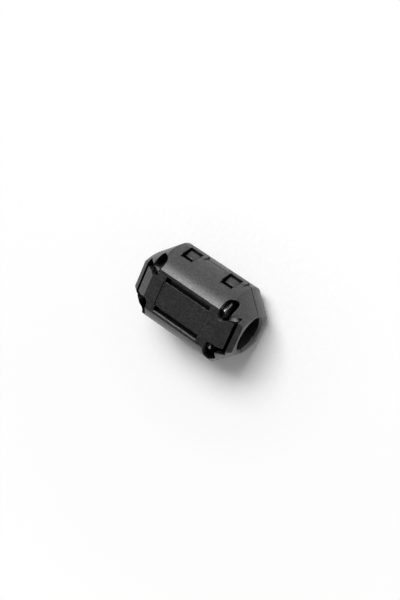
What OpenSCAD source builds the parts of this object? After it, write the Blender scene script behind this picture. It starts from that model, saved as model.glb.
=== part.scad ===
// Clip-on ferrite bead: two moulded half shells on a hinge, each holding half of a ferrite tube.
// The cable runs along X through the origin. The halves meet on the plane z = 0.
// The latch is on the +Y side and the hinge on the -Y side. The bead rests on its lower flat.

/* [Body] */
// Overall length along the cable
body_length = 27; // [26:0.5:32]
// Diameter of the round barrel
barrel_diameter = 18.6; // [18:0.1:22]
// Height across the upper and lower flats
body_height = 15.8; // [15.2:0.1:17]
// Length of each flat between its end creases
flat_length = 18.6; // [18.2:0.1:20]
// Thickness of the moulded wall
wall = 1.2; // [1:0.05:1.4]
// Open line between the edges of the closed shells
parting_gap = 0.2; // [0.1:0.05:0.4]

/* [Ends] */
// Wall of the collar inside each end, round the cable
collar_wall = 0.8; // [0.6:0.05:0.9]
// Wall beside the cable hole, on the end face at the parting plane
end_side_rim = 0.8; // [0.6:0.1:1.6]
// Wall above the cable hole, on the end face
end_top_rim = 1.3; // [1:0.1:2]
// Width of the flat strip on top of the end face
end_flat_width = 6.4; // [5:0.1:7.4]
// Thickness of the end wall along the cable
end_wall = 1.1; // [0.8:0.1:1.6]
// Radial step from the ferrite's bore out to the cable hole
hole_step = 0.5; // [0.3:0.1:0.8]
// Lead-in bevel round the mouth of the cable hole
hole_bevel = 0.5; // [0.2:0.1:0.7]

/* [Ferrite core] */
// Bore of the ferrite tube
bore_diameter = 7; // [6:0.1:7.6]
// Length of the ferrite tube
core_length = 18; // [16:0.1:18.2]
// Depth from the barrel's face to each side flat of the core
core_side_depth = 2.1; // [2:0.05:2.4]
// Clearance round the core in its pocket
core_clearance = 0.2; // [0.1:0.05:0.3]
// Clearance between the core's end faces and its stops
core_end_clearance = 0.15; // [0.05:0.05:0.3]
// Bevel ground on the core's outer end edges
core_bevel = 0.3; // [0.1:0.05:0.5]
// Width of each rib that centres the core between the side walls
rib_width = 1; // [0.8:0.1:1.4]
// Height of those ribs above the parting plane
rib_height = 2.4; // [1.6:0.1:2.6]

/* [Spring panel] */
// Width of the sprung panel between its two slots
panel_width = 6; // [5:0.1:6.4]
// Width of each slot beside the panel
panel_slot_width = 1.1; // [0.6:0.05:1.2]
// Length of each slot beside the panel
panel_slot_length = 12; // [10:0.1:12.8]
// Length of the shallow step that thins the panel
panel_length = 12.6; // [12.1:0.1:13.6]
// Depth of the step that thins the panel
panel_recess = 0.2; // [0.1:0.05:0.3]
// Bevel along the outer edge of each slot
panel_slot_bevel = 0.25; // [0.1:0.05:0.35]
// Length of the pad under the panel
pad_length = 8; // [6:0.5:10]
// Width of the pad under the panel
pad_width = 2.4; // [1.6:0.1:4]

/* [Corner slots] */
// Width of each corner slot along the cable
corner_slot_width = 2.6; // [2.2:0.1:2.8]
// Distance of the slot's centre line outside the end crease
corner_slot_offset = 0; // [-0.3:0.05:0.3]
// Distance from the middle plane to the slot's inner end
corner_slot_inner = 2.75; // [2.4:0.05:3]
// Distance from the middle plane to the slot's outer end
corner_slot_outer = 7.45; // [6.8:0.05:7.6]
// Height above the parting plane at which the slot stops
corner_slot_floor = 2.7; // [2.5:0.1:3.2]

/* [End tongues] */
// Width of the sprung tongue at each end
tongue_width = 6.3; // [5.6:0.1:6.8]
// Gap cut at each side of the tongue
tongue_side_gap = 1.5; // [1:0.1:1.7]
// Gap cut between the tongue's tip and the end wall
tongue_tip_gap = 0.7; // [0.5:0.05:1]
// Width of the nib under the tongue that holds the core's end
nib_width = 4.8; // [3:0.1:5.2]
// Thickness of the nib along the cable
nib_thickness = 0.9; // [0.6:0.1:1.2]
// How far the nib reaches down over the core's end face
nib_reach = 0.9; // [0.6:0.1:1.4]

/* [Latches] */
// Distance between the middles of the two latches
latch_spacing = 10.8; // [10.2:0.1:11.4]
// Width of the window that shows the hook
window_width = 3.4; // [3:0.1:3.6]
// Height of the window above the parting plane
window_height = 3.3; // [3:0.1:3.6]
// Width of the strap that carries the window
strap_width = 5.4; // [4.8:0.1:5.6]
// Thickness of the strap's bar below the window
strap_bar = 1; // [0.8:0.05:1.2]
// How far the bar's top lies below the parting plane
strap_bar_drop = 0.2; // [0.1:0.05:0.4]
// How far the strap stands out of the barrel
strap_proud = 0.25; // [0.1:0.05:0.4]
// Thickness of the strap from inside to the barrel's face
strap_thickness = 1; // [0.8:0.05:1.1]
// Width of the hook inside the window
hook_width = 2.6; // [2.2:0.1:2.8]
// Height of the hook's stem above the parting plane
hook_height = 1.9; // [1.7:0.1:2.7]
// How far the nose catches over the strap's bar
hook_catch = 0.7; // [0.4:0.05:0.9]
// How far the hook's outer face leans in from the nose to the tip
hook_ramp = 0.6; // [0.3:0.05:0.7]
// Height of the hook's nose, below the start of its ramp
hook_nose_height = 0.4; // [0.2:0.05:0.8]
// Bevel on the hook's tip
hook_tip_bevel = 0.3; // [0.1:0.05:0.35]
// Clearance between the strap and the notch that takes it
latch_clearance = 0.15; // [0.1:0.05:0.2]
// Height at which the strap starts to slope into the barrel
strap_slope_start = 0.5; // [0.3:0.05:0.8]
// Height at which that slope ends
strap_slope_end = 1.6; // [1.2:0.05:1.8]
// Width of the bevelled lip above the window
lip_width = 3; // [2.6:0.1:3]
// Height of that lip
lip_rise = 1.5; // [1:0.1:1.8]
// Depth of that lip
lip_run = 0.3; // [0.2:0.05:0.4]

/* [Hinge] */
// Distance between the middles of the two hinges
hinge_spacing = 10.8; // [9:0.1:12]
// Distance of the hinge axis outside the barrel
hinge_offset = 0.1; // [0.05:0.05:0.3]
// Outer diameter of the knuckles
knuckle_diameter = 2.1; // [2.05:0.05:2.6]
// Diameter of the pin moulded between the ears
pin_diameter = 1; // [0.9:0.05:1.1]
// Radial clearance between the pin and its hook
pin_clearance = 0.08; // [0.04:0.01:0.1]
// Width of the hook knuckle
knuckle_width = 2.6; // [2:0.1:3.2]
// Width of each ear that carries the pin
ear_width = 1.4; // [1:0.1:1.8]
// Height of the thicker wall behind each hinge
hinge_boss_height = 1.8; // [1.4:0.1:2.4]
// Side and radial clearance of the knuckles
hinge_clearance = 0.15; // [0.1:0.05:0.25]
// Mouth through which the hook snaps over the pin
mouth_width = 0.85; // [0.75:0.05:0.88]

/* [Hidden] */
$fn = 96;
hull_fn = 64;
cut = 0.5; // how far a cutter runs past the face it opens
join = 0.4; // how far a rib sinks into the wall that carries it
loft_slice = 0.02; // thickness of the two sections that an end is lofted between

shell_color = [0.13, 0.13, 0.14];
core_color = [0.3, 0.3, 0.32];

half_length = body_length / 2;
half_height = body_height / 2;
crease_x = flat_length / 2;
barrel_r = barrel_diameter / 2;
pocket_r = barrel_r - wall;
pocket_top = half_height - wall;
edge_z = parting_gap / 2;

bore_r = bore_diameter / 2;
hole_r = bore_r + hole_step;
end_half_width = hole_r + end_side_rim;
end_height = hole_r + end_top_rim;
end_wall_x = half_length - end_wall;
facet_slope = (half_height - end_height) / (half_length - crease_x);

core_r = pocket_r - core_clearance;
core_width = barrel_diameter - 2 * core_side_depth;
core_top = pocket_top - core_clearance;
stop_x = core_length / 2 + core_end_clearance;

slot_outer_y = panel_width / 2 + panel_slot_width;
tongue_tip_x = end_wall_x - tongue_tip_gap;
corner_slot_x = crease_x + corner_slot_offset;
corner_slot_r = corner_slot_width / 2;

strap_bottom = -strap_bar_drop - strap_bar;
strap_inner_y = barrel_r - strap_thickness;
strap_outer_y = barrel_r + strap_proud;
stem_outer_y = strap_inner_y - latch_clearance;
stem_inner_y = core_width / 2 + latch_clearance;
nose_y = strap_inner_y + hook_catch;
boss_depth = 3.2;

hinge_y = -barrel_r - hinge_offset;
knuckle_r = knuckle_diameter / 2;
pin_r = pin_diameter / 2;
pin_bore_r = pin_r + pin_clearance;
ear_inner_x = knuckle_width / 2 + hinge_clearance;
ear_outer_x = ear_inner_x + ear_width;

// Extrudes a drawing made in Y and Z along X, centred on x = 0
module along_x(length) {
    rotate([90, 0, 90])
        translate([0, 0, -length / 2])
            linear_extrude(length)
                children();
}

// A straight cylinder along X, centred on x = 0
module rod_x(r, length) {
    rotate([0, 90, 0])
        cylinder(r = r, h = length, center = true);
}

// A box given by its lowest and highest corners
module block(low, high) {
    translate(low)
        cube(high - low);
}

module both_ends() {
    children();
    mirror([1, 0, 0])
        children();
}

module both_sides() {
    children();
    mirror([0, 1, 0])
        children();
}

module four_corners() {
    both_ends()
        both_sides()
            children();
}

module at_pair(spacing) {
    for (x = [-spacing / 2, spacing / 2])
        translate([x, 0, 0])
            children();
}

// Upper half of a round section cut off by a flat
module barrel_section(r, top) {
    intersection() {
        circle(r);
        translate([-r, 0])
            square([2 * r, top]);
    }
}

// Upper half of the end face: two shallow arcs that meet the flat strip on top
module end_section() {
    inset = end_half_width - end_flat_width / 2;
    arc_r = (inset * inset + end_height * end_height) / (2 * inset);
    intersection() {
        translate([end_half_width - arc_r, 0])
            circle(arc_r, $fn = 2 * hull_fn);
        translate([arc_r - end_half_width, 0])
            circle(arc_r, $fn = 2 * hull_fn);
        translate([-end_half_width, 0])
            square([2 * end_half_width, end_height]);
    }
}

// The chamfered end, lofted from the barrel's section at the crease to the end face
module end_loft() {
    hull() {
        translate([crease_x - loft_slice / 2, 0, 0])
            along_x(loft_slice)
                barrel_section(barrel_r, half_height, $fn = hull_fn);
        translate([half_length - loft_slice / 2, 0, 0])
            along_x(loft_slice)
                end_section();
    }
}

module shell_outside() {
    along_x(flat_length)
        barrel_section(barrel_r, half_height);
    both_ends()
        end_loft();
}

// Room for the core, and behind it the hollow inside each chamfered end
module shell_hollow() {
    along_x(flat_length)
        barrel_section(pocket_r, pocket_top);
    both_ends()
        end_hollow();
}

module end_hollow() {
    depth = end_wall_x - crease_x;
    mouth_r = hole_r + end_side_rim - facet_slope * end_wall / 2;
    intersection() {
        translate([crease_x, 0, 0])
            rotate([0, 90, 0])
                cylinder(r1 = pocket_r, r2 = mouth_r, h = depth);
        rotate([90, 0, 0])
            translate([0, 0, -barrel_r])
                linear_extrude(barrel_diameter)
                    polygon([
                        [crease_x, -cut],
                        [end_wall_x, -cut],
                        [end_wall_x, pocket_top - facet_slope * depth],
                        [crease_x, pocket_top]
                    ]);
    }
}

module cable_hole() {
    rod_x(hole_r, body_length + cut);
    both_ends()
        translate([half_length - hole_bevel, 0, 0])
            rotate([0, 90, 0])
                cylinder(r1 = hole_r, r2 = hole_r + 2 * hole_bevel, h = 2 * hole_bevel);
}

// Slots and shallow step that turn the middle of the flat into a sprung panel
module panel_cuts() {
    both_sides()
        block(
            [-panel_slot_length / 2, panel_width / 2, pocket_top - cut],
            [panel_slot_length / 2, slot_outer_y, half_height + cut]
        );
    both_sides()
        along_x(panel_slot_length)
            polygon([
                [slot_outer_y - cut, half_height - panel_slot_bevel],
                [slot_outer_y, half_height - panel_slot_bevel],
                [slot_outer_y + panel_slot_bevel, half_height],
                [slot_outer_y + panel_slot_bevel, half_height + cut],
                [slot_outer_y - cut, half_height + cut]
            ]);
    block(
        [-panel_length / 2, -panel_width / 2, half_height - panel_recess],
        [panel_length / 2, panel_width / 2, half_height + cut]
    );
}

// Pad under the panel that presses the core
module panel_pad() {
    block(
        [-pad_length / 2, -pad_width / 2, core_top],
        [pad_length / 2, pad_width / 2, pocket_top + join]
    );
}

module corner_slot() {
    translate([corner_slot_x, 0, corner_slot_floor])
        linear_extrude(half_height)
            union() {
                translate([0, corner_slot_inner + corner_slot_r])
                    circle(corner_slot_r);
                translate([0, corner_slot_outer - corner_slot_r])
                    circle(corner_slot_r);
                translate([-corner_slot_r, corner_slot_inner + corner_slot_r])
                    square([
                        corner_slot_width,
                        corner_slot_outer - corner_slot_inner - corner_slot_width
                    ]);
            }
}

// U-shaped gap that frees the tongue from the chamfered end
module tongue_gap() {
    gap_floor = hole_r - hole_step;
    gap_outer = tongue_width / 2 + tongue_side_gap;
    both_sides()
        block(
            [corner_slot_x, tongue_width / 2, gap_floor],
            [end_wall_x, gap_outer, half_height]
        );
    block(
        [tongue_tip_x, -gap_outer, gap_floor],
        [end_wall_x, gap_outer, half_height]
    );
}

// Nib under the tongue, in front of the core's end face
module tongue_nib() {
    block(
        [stop_x, -nib_width / 2, core_top - nib_reach],
        [stop_x + nib_thickness, nib_width / 2, pocket_top + join]
    );
}

// Half collar from the end wall inwards: it stops the core and closes the end round the cable
module inner_collar() {
    collar_r = hole_r + collar_wall;
    collar_end = end_wall_x + join;
    translate([(stop_x + collar_end) / 2, 0, 0])
        along_x(collar_end - stop_x)
            difference() {
                translate([-collar_r, edge_z])
                    intersection() {
                        square([2 * collar_r, collar_r]);
                        translate([collar_r, -edge_z])
                            circle(collar_r);
                    }
                circle(hole_r);
            }
}

// Ribs that centre the core between the side walls
module side_ribs() {
    for (x = [-crease_x + rib_width, 0, crease_x - rib_width])
        block(
            [x - rib_width / 2, core_width / 2 + core_clearance, edge_z],
            [x + rib_width / 2, pocket_r + join, rib_height]
        );
}

// One moulded half, above the parting plane, without its latches and hinge parts
module half_shell() {
    difference() {
        shell_outside();
        shell_hollow();
        cable_hole();
        panel_cuts();
        four_corners()
            corner_slot();
        both_ends()
            tongue_gap();
        block(
            [-body_length, -barrel_diameter, -cut],
            [body_length, barrel_diameter, edge_z]
        );
    }
    panel_pad();
    both_ends()
        tongue_nib();
    both_ends()
        inner_collar();
    both_sides()
        side_ribs();
    at_pair(hinge_spacing)
        hinge_boss();
}

// Strap of one latch: it hangs below the parting plane and is bevelled into the barrel
module strap() {
    along_x(strap_width)
        polygon([
            [strap_inner_y, strap_bottom],
            [strap_outer_y, strap_bottom],
            [strap_outer_y, strap_slope_start],
            [barrel_r - latch_clearance, strap_slope_end],
            [strap_inner_y, strap_slope_end]
        ]);
}

// Opening of one window, with the bevelled lip above it
module window() {
    block(
        [-window_width / 2, core_width / 2, -strap_bar_drop],
        [window_width / 2, strap_outer_y + cut, window_height]
    );
    along_x(lip_width)
        polygon([
            [stem_outer_y, window_height - cut],
            [strap_outer_y, window_height - cut],
            [strap_outer_y, window_height + lip_rise],
            [stem_outer_y + lip_run, window_height + lip_rise],
            [stem_outer_y, window_height]
        ]);
}

// Notch in the other half's wall that takes the strap
module strap_notch() {
    block(
        [
            -strap_width / 2 - latch_clearance,
            stem_outer_y,
            strap_bottom - latch_clearance
        ],
        [strap_width / 2 + latch_clearance, strap_outer_y + cut, cut]
    );
}

// Thicker wall behind one strap, from which the hook rises
module hook_boss() {
    boss_width = strap_width + 2 * wall;
    intersection() {
        block(
            [-boss_width / 2, stem_inner_y, -boss_depth],
            [boss_width / 2, stem_outer_y + join, -edge_z]
        );
        rod_x(pocket_r + join, boss_width + cut);
    }
}

// Hook that stands in the window with its nose over the strap's bar
module hook() {
    along_x(hook_width)
        polygon([
            [stem_inner_y, -boss_depth / 2],
            [stem_outer_y, -boss_depth / 2],
            [stem_outer_y, -strap_bar_drop],
            [nose_y, -strap_bar_drop],
            [nose_y, hook_nose_height],
            [nose_y - hook_ramp, hook_height - hook_tip_bevel],
            [nose_y - hook_ramp - hook_tip_bevel, hook_height],
            [stem_inner_y, hook_height]
        ]);
}

// Thicker wall behind one hinge, where the reliefs cut into the wall
module hinge_boss() {
    boss_width = 2 * ear_outer_x;
    intersection() {
        block(
            [-boss_width / 2, -pocket_r - join, edge_z],
            [boss_width / 2, -core_width / 2 - core_clearance, hinge_boss_height]
        );
        rod_x(pocket_r + join, boss_width + cut);
    }
}

// Knuckle of one hinge: a ring on a web that joins the wall above it
module knuckle() {
    translate([0, hinge_y, 0]) {
        rod_x(knuckle_r, knuckle_width);
        block(
            [-knuckle_width / 2, 0, 0],
            [knuckle_width / 2, hinge_offset + wall, knuckle_r]
        );
    }
}

// Bore of one knuckle, and the mouth that turns the ring into a hook
module knuckle_bore() {
    translate([0, hinge_y, 0]) {
        rod_x(pin_bore_r, 2 * ear_inner_x);
        block(
            [-ear_inner_x, -knuckle_diameter, -mouth_width / 2],
            [ear_inner_x, 0, mouth_width / 2]
        );
    }
}

// Two ears of one hinge, with the pin moulded between them
module ears_and_pin() {
    translate([0, hinge_y, 0]) {
        rod_x(pin_r, 2 * ear_outer_x);
        both_ends()
            translate([ear_inner_x + ear_width / 2, 0, 0]) {
                rod_x(knuckle_r, ear_width);
                block(
                    [-ear_width / 2, 0, -knuckle_r],
                    [ear_width / 2, hinge_offset + wall, -edge_z]
                );
            }
    }
}

// Relief round one hook knuckle
module knuckle_relief() {
    translate([0, hinge_y, 0])
        rod_x(knuckle_r + hinge_clearance, 2 * ear_inner_x);
}

// Relief round the two ears of one hinge
module ear_relief() {
    relief_width = ear_width + 2 * hinge_clearance;
    translate([0, hinge_y, 0])
        both_ends()
            translate([ear_inner_x + ear_width / 2, 0, 0])
                rod_x(knuckle_r + hinge_clearance, relief_width);
}

module upper_shell() {
    color(shell_color) {
        difference() {
            union() {
                half_shell();
                at_pair(latch_spacing)
                    strap();
                at_pair(hinge_spacing)
                    knuckle();
            }
            at_pair(latch_spacing)
                window();
            at_pair(hinge_spacing) {
                ear_relief();
                knuckle_bore();
            }
        }
    }
}

module lower_shell() {
    color(shell_color) {
        difference() {
            union() {
                mirror([0, 0, 1])
                    half_shell();
                at_pair(latch_spacing)
                    hook_boss();
            }
            at_pair(latch_spacing)
                strap_notch();
            at_pair(hinge_spacing)
                knuckle_relief();
        }
        at_pair(latch_spacing)
            hook();
        at_pair(hinge_spacing)
            ears_and_pin();
    }
}

// Half of the ferrite tube, above the parting plane, with ground flats and bevelled ends
module half_core() {
    difference() {
        rotate([0, 90, 0])
            rotate_extrude()
                polygon([
                    [bore_r, -core_length / 2],
                    [core_r - core_bevel, -core_length / 2],
                    [core_r, core_bevel - core_length / 2],
                    [core_r, core_length / 2 - core_bevel],
                    [core_r - core_bevel, core_length / 2],
                    [bore_r, core_length / 2]
                ]);
        both_sides()
            block(
                [-body_length, core_width / 2, -barrel_r],
                [body_length, barrel_diameter, barrel_r]
            );
        block(
            [-body_length, -barrel_diameter, core_top],
            [body_length, barrel_diameter, barrel_diameter]
        );
        block(
            [-body_length, -barrel_diameter, -barrel_diameter],
            [body_length, barrel_diameter, 0]
        );
    }
}

module upper_core() {
    color(core_color)
        half_core();
}

module lower_core() {
    color(core_color)
        mirror([0, 0, 1])
            half_core();
}

upper_shell();
lower_shell();
upper_core();
lower_core();
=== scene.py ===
"""Looks for the clip on ferrite bead: materials, floor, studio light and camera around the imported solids."""

import math

import bpy
from mathutils import Matrix, Vector

SHELLS = ("upper_shell", "lower_shell")
CORES = ("upper_core", "lower_core")

# Lengths are in metres and angles in radians, unless the name says otherwise.
FLOOR_Z = -0.0079  # the lower flat, which the part rests on
FLOOR_CLEARANCE = 0.00002  # keeps the paper from meeting that flat
FLOOR_HALF_SIZE = 3.0
WHITE_REACH = 0.1  # from here outwards the paper glows plain white
# Share of painted white glow, by distance from the origin as a share of WHITE_REACH: little near the part, so
# that its cast shadow shows there, and more further out, which cuts that shadow short
PAINTED_GLOW_FADE = [(0.0, 0.0), (0.10, 0.01), (0.17, 0.12), (0.25, 0.40), (0.40, 0.80), (1.0, 1.0)]
# Brightness of the walls by height, from the horizon at 0 to overhead at 1
WALL_LEVELS = [(0.0, 1.0), (0.24, 0.95), (0.40, 0.15), (1.0, 0.05)]

NODE_SAMPLES = 8  # for each bevel and occlusion node
PAINTED_SHADE_REACH = 0.0018  # how far away a wall still adds painted shade to a slot
PAINTED_SHADE_LEVEL = 0.03  # what is left of a colour under the painted shade deep in a slot
PLASTIC_SPECULAR = 0.6
BORE_LIMIT = 0.00385  # just outside the bore of the ferrite
FACE_LIMIT = 0.00015  # just past its mating faces

IMAGE_WIDTH, IMAGE_HEIGHT = 400, 600
TURN = (-0.4628, -0.3695, 0.599)
PIXELS_PER_METRE = 4611.6
ORIGIN_PIXEL = (200.69, 301.52)
CAMERA_DISTANCE = 0.25
CAMERA_CLIP = (0.01, 20.0)
SENSOR_MM = 36.0

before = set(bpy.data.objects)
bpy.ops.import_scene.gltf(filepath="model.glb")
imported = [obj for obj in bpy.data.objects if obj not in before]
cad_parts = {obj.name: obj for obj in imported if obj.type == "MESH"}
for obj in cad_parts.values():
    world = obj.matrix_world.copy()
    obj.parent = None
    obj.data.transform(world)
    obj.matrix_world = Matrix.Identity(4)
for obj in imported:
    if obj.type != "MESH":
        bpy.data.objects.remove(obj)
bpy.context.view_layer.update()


# ---------------------------------------------------------------- node helpers


def new_material(name):
    """An empty node material with its output and a Principled shader."""
    mat = bpy.data.materials.new(name)
    mat.use_nodes = True
    tree = mat.node_tree
    tree.nodes.clear()
    out = tree.nodes.new("ShaderNodeOutputMaterial")
    shader = tree.nodes.new("ShaderNodeBsdfPrincipled")
    tree.links.new(shader.outputs["BSDF"], out.inputs["Surface"])
    return mat, tree, shader


def noise(tree, coords, scale, detail=3.0, rough=0.5, distortion=0.0):
    """Fractal noise from 0 to 1, with scale in cells per unit of the coordinates."""
    node = tree.nodes.new("ShaderNodeTexNoise")
    node.inputs["Scale"].default_value = scale
    node.inputs["Detail"].default_value = detail
    node.inputs["Roughness"].default_value = rough
    node.inputs["Distortion"].default_value = distortion
    tree.links.new(coords, node.inputs["Vector"])
    return node.outputs["Fac"]


def ramp(tree, value, stops):
    """Maps a value through colour stops, given as (position, level or colour)."""
    node = tree.nodes.new("ShaderNodeValToRGB")
    tree.links.new(value, node.inputs["Fac"])
    while len(node.color_ramp.elements) < len(stops):
        node.color_ramp.elements.new(0.5)
    for element, (place, level) in zip(node.color_ramp.elements, stops):
        colour = level if isinstance(level, tuple) else (level,) * 3
        element.position = place
        element.color = (*colour, 1.0)
    return node.outputs["Color"]


def math_node(tree, operation, a, b=0.0):
    """One operation on sockets or plain numbers."""
    node = tree.nodes.new("ShaderNodeMath")
    node.operation = operation
    for socket, value in zip(node.inputs, (a, b)):
        if isinstance(value, (int, float)):
            socket.default_value = value
        else:
            tree.links.new(value, socket)
    return node.outputs["Value"]


def mix_colour(tree, factor, a, b, blend="MIX"):
    """Blends two colours. A Mix node repeats its socket names for each type, so they go by number."""
    node = tree.nodes.new("ShaderNodeMix")
    node.data_type = "RGBA"
    node.blend_type = blend
    for socket, value in ((node.inputs[0], factor), (node.inputs[6], a), (node.inputs[7], b)):
        if isinstance(value, (int, float)):
            socket.default_value = value
        elif isinstance(value, tuple):
            socket.default_value = (*value, 1.0)
        else:
            tree.links.new(value, socket)
    return node.outputs[2]


def bump(tree, height, strength, distance, normal):
    """The given normal, roughened by a height."""
    node = tree.nodes.new("ShaderNodeBump")
    node.inputs["Strength"].default_value = strength
    node.inputs["Distance"].default_value = distance
    tree.links.new(height, node.inputs["Height"])
    tree.links.new(normal, node.inputs["Normal"])
    return node.outputs["Normal"]


def edge_normal(tree, radius):
    """The surface normal with every sharp edge rounded off by this radius."""
    node = tree.nodes.new("ShaderNodeBevel")
    node.samples = NODE_SAMPLES
    node.inputs["Radius"].default_value = radius
    return node.outputs["Normal"]


def edge_mask(tree, rounded, low, high):
    """1 on sharp edges and 0 on open faces, from how far the rounded normal leans off the true one."""
    geometry = tree.nodes.new("ShaderNodeNewGeometry")
    dot = tree.nodes.new("ShaderNodeVectorMath")
    dot.operation = "DOT_PRODUCT"
    tree.links.new(rounded, dot.inputs[0])
    tree.links.new(geometry.outputs["Normal"], dot.inputs[1])
    return ramp(tree, dot.outputs["Value"], [(low, 1.0), (high, 0.0)])


def painted_recess_shade(tree, deep, shallow):
    """Painted shade: near 0 deep inside slots and windows, 1 on open faces, from how enclosed the surface is.
    """
    node = tree.nodes.new("ShaderNodeAmbientOcclusion")
    node.samples = NODE_SAMPLES
    node.inputs["Distance"].default_value = PAINTED_SHADE_REACH
    return ramp(tree, node.outputs["AO"], [(deep, PAINTED_SHADE_LEVEL), (shallow, 1.0)])


# ---------------------------------------------------------------- materials


def moulded_plastic():
    """Black nylon with a fine spark-eroded texture, slightly paler where edges have rubbed, with painted shade
    in its slots and windows.
    """
    mat, tree, shader = new_material("black_nylon")
    coords = tree.nodes.new("ShaderNodeTexCoord").outputs["Object"]
    grain = noise(tree, coords, scale=5200.0, detail=3.0, rough=0.6)
    coarse = noise(tree, coords, scale=2600.0, detail=2.0, rough=0.55)
    fleck = noise(tree, coords, scale=2700.0, detail=2.0, rough=0.7)
    cloud = noise(tree, coords, scale=160.0, detail=3.0, rough=0.55)
    handling = noise(tree, coords, scale=420.0, detail=5.0, rough=0.65, distortion=0.6)
    rounded = edge_normal(tree, radius=0.00018)
    worn = edge_mask(tree, rounded, low=0.86, high=0.985)
    worn = math_node(tree, "MULTIPLY", worn, ramp(tree, handling, [(0.38, 0.15), (0.62, 1.0)]))

    base = ramp(tree, cloud, [(0.3, (0.0165, 0.0165, 0.0172)), (0.7, (0.0225, 0.0225, 0.0234))])
    speck = ramp(tree, fleck, [(0.36, 0.4), (0.64, 1.75)])
    base = mix_colour(tree, 1.0, base, speck, "MULTIPLY")
    base = mix_colour(tree, math_node(tree, "MULTIPLY", worn, 0.45), base, (0.06, 0.06, 0.062))
    # Painted shade: the colour darkens inside slots and windows by how enclosed the surface is.
    recess_shade = painted_recess_shade(tree, deep=0.52, shallow=0.92)
    base = mix_colour(tree, 1.0, base, recess_shade, "MULTIPLY")
    tree.links.new(base, shader.inputs["Base Color"])
    # Painted shade also dims the reflection in slots and windows. The socket keeps the open faces' value for
    # the export, which drops a link here.
    specular = shader.inputs["Specular IOR Level"]
    specular.default_value = PLASTIC_SPECULAR
    tree.links.new(math_node(tree, "MULTIPLY", recess_shade, PLASTIC_SPECULAR), specular)

    rough = ramp(tree, handling, [(0.3, 0.35), (0.7, 0.42)])
    rough = mix_colour(tree, math_node(tree, "MULTIPLY", worn, 0.5), rough, (0.34, 0.34, 0.34))
    tree.links.new(rough, shader.inputs["Roughness"])
    shader.inputs["IOR"].default_value = 1.53

    height = math_node(tree, "ADD", math_node(tree, "MULTIPLY", grain, 0.4), coarse)
    normal = bump(tree, height, strength=0.35, distance=0.00007, normal=rounded)
    tree.links.new(normal, shader.inputs["Normal"])
    return mat


def outside(tree, coords):
    """1 on the outside of a ferrite half, 0 in its bore and on its mating face."""
    across = tree.nodes.new("ShaderNodeVectorMath")
    across.operation = "MULTIPLY"
    across.inputs[1].default_value = (0.0, 1.0, 1.0)
    tree.links.new(coords, across.inputs[0])
    radius = tree.nodes.new("ShaderNodeVectorMath")
    radius.operation = "LENGTH"
    tree.links.new(across.outputs["Vector"], radius.inputs[0])
    split = tree.nodes.new("ShaderNodeSeparateXYZ")
    tree.links.new(coords, split.inputs["Vector"])
    height = math_node(tree, "ABSOLUTE", split.outputs["Z"])
    past_bore = math_node(tree, "GREATER_THAN", radius.outputs["Value"], BORE_LIMIT)
    past_face = math_node(tree, "GREATER_THAN", height, FACE_LIMIT)
    return math_node(tree, "MULTIPLY", past_bore, past_face)


def sintered_ferrite():
    """Dark grey ceramic with fine pores: a glossy outside, a duller bore and duller mating faces, with painted
    shade in the slots.
    """
    mat, tree, shader = new_material("sintered_ferrite")
    coords = tree.nodes.new("ShaderNodeTexCoord").outputs["Object"]
    stretch = tree.nodes.new("ShaderNodeMapping")
    stretch.inputs["Scale"].default_value = (900.0, 9000.0, 9000.0)  # grinding marks run along X
    tree.links.new(coords, stretch.inputs["Vector"])
    scratches = noise(tree, stretch.outputs["Vector"], scale=1.0, detail=2.0, rough=0.5)
    pores = noise(tree, coords, scale=9000.0, detail=2.0, rough=0.5)
    cloud = noise(tree, coords, scale=240.0, detail=4.0, rough=0.6)
    rounded = edge_normal(tree, radius=0.0001)

    base = ramp(tree, cloud, [(0.3, (0.009, 0.009, 0.0096)), (0.7, (0.015, 0.015, 0.0158))])
    # Painted shade: the colour darkens where the ferrite lies deep in a slot.
    base = mix_colour(tree, 1.0, base, painted_recess_shade(tree, deep=0.5, shallow=0.9), "MULTIPLY")
    pits = ramp(tree, pores, [(0.24, 0.45), (0.36, 1.0)])
    tree.links.new(mix_colour(tree, 1.0, base, pits, "MULTIPLY"), shader.inputs["Base Color"])
    glossy = ramp(tree, scratches, [(0.3, 0.11), (0.7, 0.18)])
    dull = ramp(tree, scratches, [(0.3, 0.46), (0.7, 0.56)])
    rough = mix_colour(tree, outside(tree, coords), dull, glossy)
    tree.links.new(rough, shader.inputs["Roughness"])
    shader.inputs["IOR"].default_value = 2.1

    pit_height = math_node(tree, "MULTIPLY", pits, 0.15)
    height = math_node(tree, "ADD", pit_height, math_node(tree, "MULTIPLY", scratches, 0.4))
    normal = bump(tree, height, strength=0.04, distance=0.000005, normal=rounded)
    tree.links.new(normal, shader.inputs["Normal"])
    return mat


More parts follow.
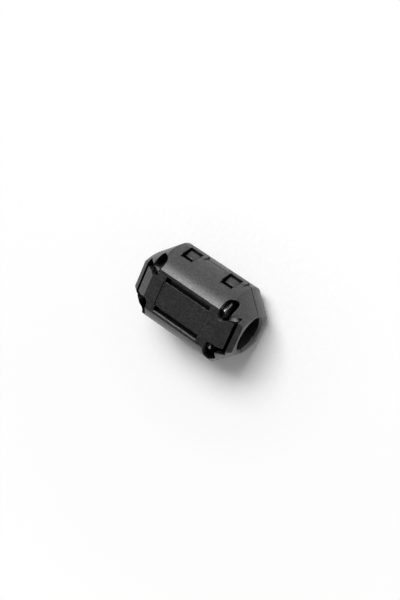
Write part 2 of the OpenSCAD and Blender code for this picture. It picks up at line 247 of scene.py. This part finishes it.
def floor_paper():
    """White studio paper.

    Seen by the camera or in a reflection, it fades to plain white away from the part, a painted glow that cuts
    the part's cast shadow short.
    """
    mat, tree, shader = new_material("studio_paper")
    coords = tree.nodes.new("ShaderNodeTexCoord").outputs["Object"]
    fibre = noise(tree, coords, scale=900.0, detail=3.0, rough=0.6)
    tree.links.new(ramp(tree, fibre, [(0.3, 0.93), (0.7, 0.97)]), shader.inputs["Base Color"])
    shader.inputs["Roughness"].default_value = 0.85
    shader.inputs["Specular IOR Level"].default_value = 0.1

    light_path = tree.nodes.new("ShaderNodeLightPath")
    seen = light_path.outputs["Is Camera Ray"]
    for kind in ("Is Glossy Ray", "Is Transmission Ray"):
        seen = math_node(tree, "MAXIMUM", seen, light_path.outputs[kind])
    away = tree.nodes.new("ShaderNodeVectorMath")
    away.operation = "LENGTH"
    tree.links.new(coords, away.inputs[0])
    reach = math_node(tree, "DIVIDE", away.outputs["Value"], WHITE_REACH)
    glow_share = ramp(tree, reach, PAINTED_GLOW_FADE)

    # Painted glow: plain white light that no lamp gives, mixed in by distance so the cast shadow fades out
    # sooner.
    white = tree.nodes.new("ShaderNodeEmission")
    white.inputs["Color"].default_value = (1.0, 1.0, 1.0, 1.0)
    white.inputs["Strength"].default_value = 1.0
    surface = shader.outputs["BSDF"].links[0].to_socket
    blend = tree.nodes.new("ShaderNodeMixShader")
    tree.links.new(math_node(tree, "MULTIPLY", seen, glow_share), blend.inputs[0])
    tree.links.new(shader.outputs["BSDF"], blend.inputs[1])
    tree.links.new(white.outputs["Emission"], blend.inputs[2])
    tree.links.new(blend.outputs["Shader"], surface)
    return mat


def dress(names, material):
    """Gives the named solids this one material."""
    for name in names:
        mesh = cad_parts[name].data
        mesh.materials.clear()
        mesh.materials.append(material)


dress(SHELLS, moulded_plastic())
dress(CORES, sintered_ferrite())


# ---------------------------------------------------------------- studio


def add_floor():
    """A sheet of paper just under the part."""
    half = FLOOR_HALF_SIZE
    mesh = bpy.data.meshes.new("floor")
    corners = [(-half, -half, 0), (half, -half, 0), (half, half, 0), (-half, half, 0)]
    mesh.from_pydata(corners, [], [(0, 1, 2, 3)])
    floor = bpy.data.objects.new("floor", mesh)
    floor.location = (0, 0, FLOOR_Z - FLOOR_CLEARANCE)
    mesh.materials.append(floor_paper())
    bpy.context.scene.collection.objects.link(floor)


def add_softbox(name, direction, distance, size, radiance):
    """A rectangular soft light that shines at the part from this direction."""
    lamp = bpy.data.lights.new(name, "AREA")
    lamp.shape = "RECTANGLE"
    lamp.size, lamp.size_y = size
    lamp.energy = radiance * math.pi * size[0] * size[1]
    box = bpy.data.objects.new(name, lamp)
    towards = Vector(direction).normalized()
    box.location = towards * distance
    box.rotation_mode = "QUATERNION"
    box.rotation_quaternion = towards.to_track_quat("Z", "Y")
    bpy.context.scene.collection.objects.link(box)


def studio_walls():
    """Pale walls near the horizon that darken towards the ceiling."""
    world = bpy.data.worlds.new("studio")
    bpy.context.scene.world = world
    world.use_nodes = True
    tree = world.node_tree
    tree.nodes.clear()
    out = tree.nodes.new("ShaderNodeOutputWorld")
    background = tree.nodes.new("ShaderNodeBackground")
    tree.links.new(background.outputs["Background"], out.inputs["Surface"])
    split = tree.nodes.new("ShaderNodeSeparateXYZ")
    around = tree.nodes.new("ShaderNodeTexCoord").outputs["Generated"]
    tree.links.new(around, split.inputs["Vector"])
    tree.links.new(ramp(tree, split.outputs["Z"], WALL_LEVELS), background.inputs["Color"])


add_floor()
add_softbox(
    "key_softbox",
    direction=(-0.18, 0.60, 0.75),
    distance=0.62,
    size=(0.44, 0.25),
    radiance=13.5,
)
studio_walls()


# ---------------------------------------------------------------- camera


def add_camera():
    """The view of the photograph.

    TURN takes the part's axes to those of the picture: x right, y down, z to the viewer.
    """
    rx, ry, rz = TURN
    turn = Matrix.Rotation(rz, 3, "Z") @ Matrix.Rotation(ry, 3, "Y") @ Matrix.Rotation(rx, 3, "X")
    flip = Matrix(((1, 0, 0), (0, -1, 0), (0, 0, 1)))
    rows = turn @ flip
    right, up, back = Vector(rows[0]), -Vector(rows[1]), Vector(rows[2])
    aside = (ORIGIN_PIXEL[0] - IMAGE_WIDTH / 2) / PIXELS_PER_METRE
    above = (ORIGIN_PIXEL[1] - IMAGE_HEIGHT / 2) / PIXELS_PER_METRE
    data = bpy.data.cameras.new("photo_camera")
    data.sensor_width = SENSOR_MM
    data.lens = PIXELS_PER_METRE * CAMERA_DISTANCE / IMAGE_HEIGHT * SENSOR_MM
    data.clip_start, data.clip_end = CAMERA_CLIP
    camera = bpy.data.objects.new("photo_camera", data)
    place = back * CAMERA_DISTANCE - right * aside + up * above
    camera.matrix_world = Matrix.Translation(place) @ Matrix((right, up, back)).transposed().to_4x4()
    bpy.context.scene.collection.objects.link(camera)
    bpy.context.scene.camera = camera


add_camera()
bpy.context.scene.view_settings.view_transform = "Standard"
